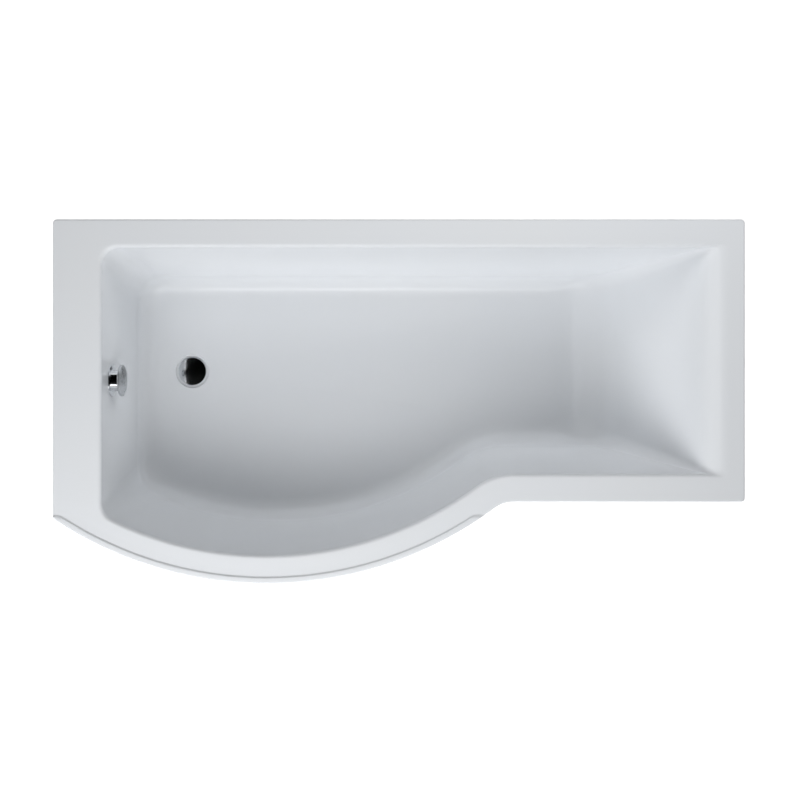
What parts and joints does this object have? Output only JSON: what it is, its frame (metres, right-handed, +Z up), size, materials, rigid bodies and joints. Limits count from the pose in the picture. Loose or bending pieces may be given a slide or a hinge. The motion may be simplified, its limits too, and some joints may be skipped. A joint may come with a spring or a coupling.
{
  "type": "shower bath",
  "caption": "P-shaped acrylic shower bath with sloping backrest, pop-up waste, knob overflow, laminated base board, rim battens and cradle legs with levelling feet.",
  "frame": {"origin": "on the floor, under the centre of the rectangle that the rim fits in", "axes": "+X along the bath to the sloping head end, -X to the tap end, +Y to the wall side, -Y to the bulge, +Z up"},
  "size_m": [1.7, 0.895, 0.574],
  "materials": {
    "acrylic_white": "high gloss white acrylic",
    "glassfibre": "sprayed chopped-strand glassfibre and resin, rough",
    "chipboard": "raw particle board, resin-brushed",
    "timber": "sawn softwood",
    "zinc_steel": "bright zinc plated",
    "black_plastic": "moulded black plastic",
    "white_plastic": "moulded white plastic",
    "pipe_plastic": "flexible light grey plastic",
    "cable_sheath": "extruded black plastic",
    "chrome": "polished chrome plate",
    "seal_rubber": "black rubber",
    "brass": "turned brass",
    "stainless": "stamped stainless steel"
  },
  "bodies": {
    "bath": {"bath_shell": "acrylic_white", "glassfibre_backing": "glassfibre", "baseboard": "chipboard", "rim_batten_rear": "timber", "rim_batten_tap_end": "timber", "rim_batten_bulge": "timber", "rim_batten_front": "timber", "rim_batten_head_end": "timber", "leg_bar_tap_end": "zinc_steel", "leg_bar_head_end": "zinc_steel", "leg_bar_screws": "zinc_steel", "centre_leg_plate": "zinc_steel", "centre_plate_screws": "zinc_steel", "foot_nuts_upper": "zinc_steel", "foot_nuts_lower": "zinc_steel", "wall_bracket_rear_tap": "zinc_steel", "wall_bracket_rear_head": "zinc_steel", "wall_bracket_tap_end": "zinc_steel", "wall_bracket_head_end": "zinc_steel", "bracket_screws": "zinc_steel", "waste_flange": "chrome", "waste_seal_upper": "seal_rubber", "waste_seal_lower": "seal_rubber", "waste_body": "white_plastic", "lever_pin": "stainless", "overflow_flange": "chrome", "overflow_screws": "zinc_steel", "overflow_seal": "seal_rubber", "overflow_body": "white_plastic", "cable_case": "black_plastic", "cable_case_cover": "black_plastic", "overflow_pipe": "pipe_plastic", "pipe_nut_upper": "white_plastic", "pipe_nut_lower": "white_plastic", "pull_cable": "cable_sheath"},
    "knob": {"overflow_knob": "chrome", "knob_spindle": "brass", "cable_drum": "black_plastic"},
    "plug": {"plug_cap": "chrome", "plug_seal": "seal_rubber", "plug_stem": "brass", "lift_pin": "brass"},
    "lever": {"lift_lever": "stainless"},
    "foot_1": {"foot_stud_1": "zinc_steel", "foot_pad_1": "black_plastic"},
    "foot_2": {"foot_stud_2": "zinc_steel", "foot_pad_2": "black_plastic"},
    "foot_3": {"foot_stud_3": "zinc_steel", "foot_pad_3": "black_plastic"},
    "foot_4": {"foot_stud_4": "zinc_steel", "foot_pad_4": "black_plastic"},
    "foot_5": {"foot_stud_5": "zinc_steel", "foot_pad_5": "black_plastic"}
  },
  "joints": [
    {"name": "knob_turn", "type": "hinge", "parent": "bath", "child": "knob", "pos_m": [-0.72309, 0.05, 0.47], "axis": [0.9962, 0, 0.0872], "range_deg": [0, 90]},
    {"name": "plug_lift", "type": "slide", "parent": "bath", "child": "plug", "axis": [0, 0, 1], "range_m": [0, 0.01]},
    {"name": "lever_swing", "type": "hinge", "parent": "bath", "child": "lever", "pos_m": [-0.5759, 0.06921, 0.118], "axis": [0.1117, -0.9937, 0], "range_deg": [0, 36.01]},
    {"name": "foot_level_1", "type": "slide", "parent": "bath", "child": "foot_1", "axis": [0, 0, -1], "range_m": [-0.01, 0.02]},
    {"name": "foot_level_2", "type": "slide", "parent": "bath", "child": "foot_2", "axis": [0, 0, -1], "range_m": [-0.01, 0.02]},
    {"name": "foot_level_3", "type": "slide", "parent": "bath", "child": "foot_3", "axis": [0, 0, -1], "range_m": [-0.01, 0.02]},
    {"name": "foot_level_4", "type": "slide", "parent": "bath", "child": "foot_4", "axis": [0, 0, -1], "range_m": [-0.01, 0.02]},
    {"name": "foot_level_5", "type": "slide", "parent": "bath", "child": "foot_5", "axis": [0, 0, -1], "range_m": [-0.01, 0.02]}
  ],
  "couplings": [
    {"joint": "plug_lift", "follows": "knob_turn", "m_per_rad": 0.006366},
    {"joint": "lever_swing", "follows": "knob_turn", "ratio": 0.4}
  ]
}
